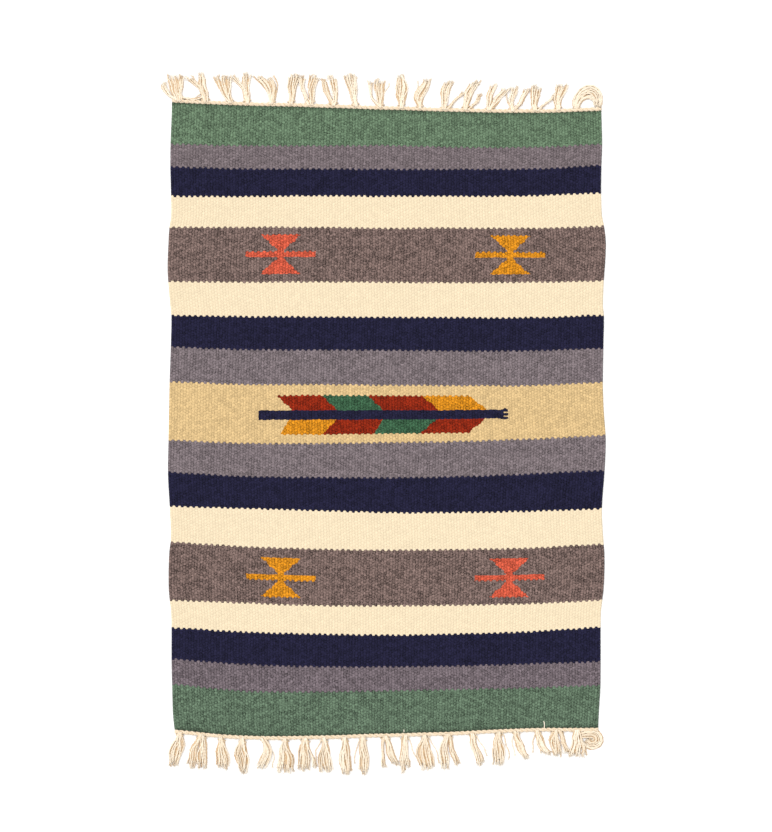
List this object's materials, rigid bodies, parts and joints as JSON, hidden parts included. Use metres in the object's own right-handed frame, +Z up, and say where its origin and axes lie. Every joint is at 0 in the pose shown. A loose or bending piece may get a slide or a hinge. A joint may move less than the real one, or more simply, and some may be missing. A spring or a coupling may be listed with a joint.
{
  "type": "dhurrie rug",
  "caption": "Flat hand-woven cotton rug in weft-faced colour bands with hourglass and feather motifs, and a heading with tasselled warp fringe along both ends.",
  "frame": {"origin": "under the middle of the rug's box, on the surface that it lies on", "axes": "+Z up out of the rug's face, +Y along the warp towards the far fringe, +X along the weft to the right"},
  "size_m": [0.6132, 0.9728, 0.0038],
  "materials": {
    "weft_yarns": "matt weft-faced cotton flatweave in green, mauve-grey, navy, cream, brown-grey and tan bands, with orange-red, mustard, dark red and green motifs",
    "warp_yarn": "matt undyed cream cotton cord, twined in the heading and frayed at the tassel tips"
  },
  "bodies": {
    "root": {"woven_cloth": "weft_yarns", "fringe_far_end": "warp_yarn", "fringe_near_end": "warp_yarn"}
  },
  "joints": []
}
